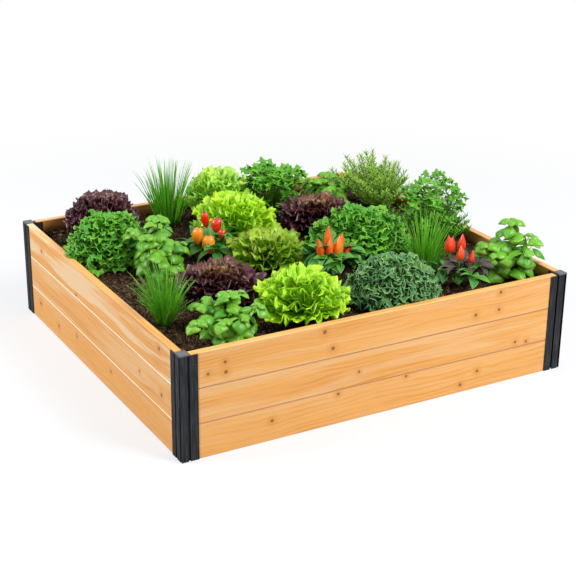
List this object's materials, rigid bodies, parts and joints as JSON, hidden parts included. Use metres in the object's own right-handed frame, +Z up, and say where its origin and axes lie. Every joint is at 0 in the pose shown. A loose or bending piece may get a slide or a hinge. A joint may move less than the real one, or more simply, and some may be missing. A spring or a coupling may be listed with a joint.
{
  "type": "raised garden bed",
  "caption": "Square raised garden bed of stained tongued planks in dark slotted corner posts, filled with soil and planted with herbs, salads and peppers.",
  "frame": {"origin": "on the ground under the middle of the bed", "axes": "+X to the right along the front side, +Y to the back, +Z up"},
  "size_m": [1.22, 1.16, 0.4682],
  "materials": {
    "post": "satin",
    "cap": "satin",
    "screw": "satin",
    "wood": "satin",
    "soil": "matte",
    "green_leaf": "satin",
    "bright_leaf": "satin",
    "blue_green_leaf": "satin",
    "red_leaf": "satin",
    "bronze_leaf": "satin",
    "pepper_fruit": "gloss"
  },
  "bodies": {
    "root": {"basil_back": "green_leaf", "basil_front": "green_leaf", "basil_left": "green_leaf", "basil_right": "green_leaf", "chives_back": "green_leaf", "chives_left": "green_leaf", "chives_right": "green_leaf", "corner_cap_back_left": "cap", "corner_cap_back_right": "cap", "corner_cap_front_left": "cap", "corner_cap_front_right": "cap", "corner_post_back_left": "post", "corner_post_back_right": "post", "corner_post_front_left": "post", "corner_post_front_right": "post", "kale_front": "blue_green_leaf", "lettuce_bronze_middle": "bronze_leaf", "lettuce_green_back": "bright_leaf", "lettuce_green_front": "bright_leaf", "lettuce_pale_back": "bright_leaf", "lettuce_red_back": "red_leaf", "lettuce_red_front": "red_leaf", "lettuce_red_middle": "red_leaf", "parsley_curly_left": "green_leaf", "parsley_curly_middle": "green_leaf", "parsley_flat_back": "green_leaf", "parsley_flat_right": "green_leaf", "pepper_fruits_left": "pepper_fruit", "pepper_fruits_middle": "pepper_fruit", "pepper_fruits_right": "pepper_fruit", "pepper_plant_left": "green_leaf", "pepper_plant_middle": "green_leaf", "pepper_plant_right": "green_leaf", "plank_back_lower": "wood", "plank_back_middle": "wood", "plank_back_upper": "wood", "plank_front_lower": "wood", "plank_front_middle": "wood", "plank_front_upper": "wood", "plank_left_lower": "wood", "plank_left_middle": "wood", "plank_left_upper": "wood", "plank_right_lower": "wood", "plank_right_middle": "wood", "plank_right_upper": "wood", "plank_screws": "screw", "rosemary_back": "green_leaf", "soil": "soil"}
  },
  "joints": []
}
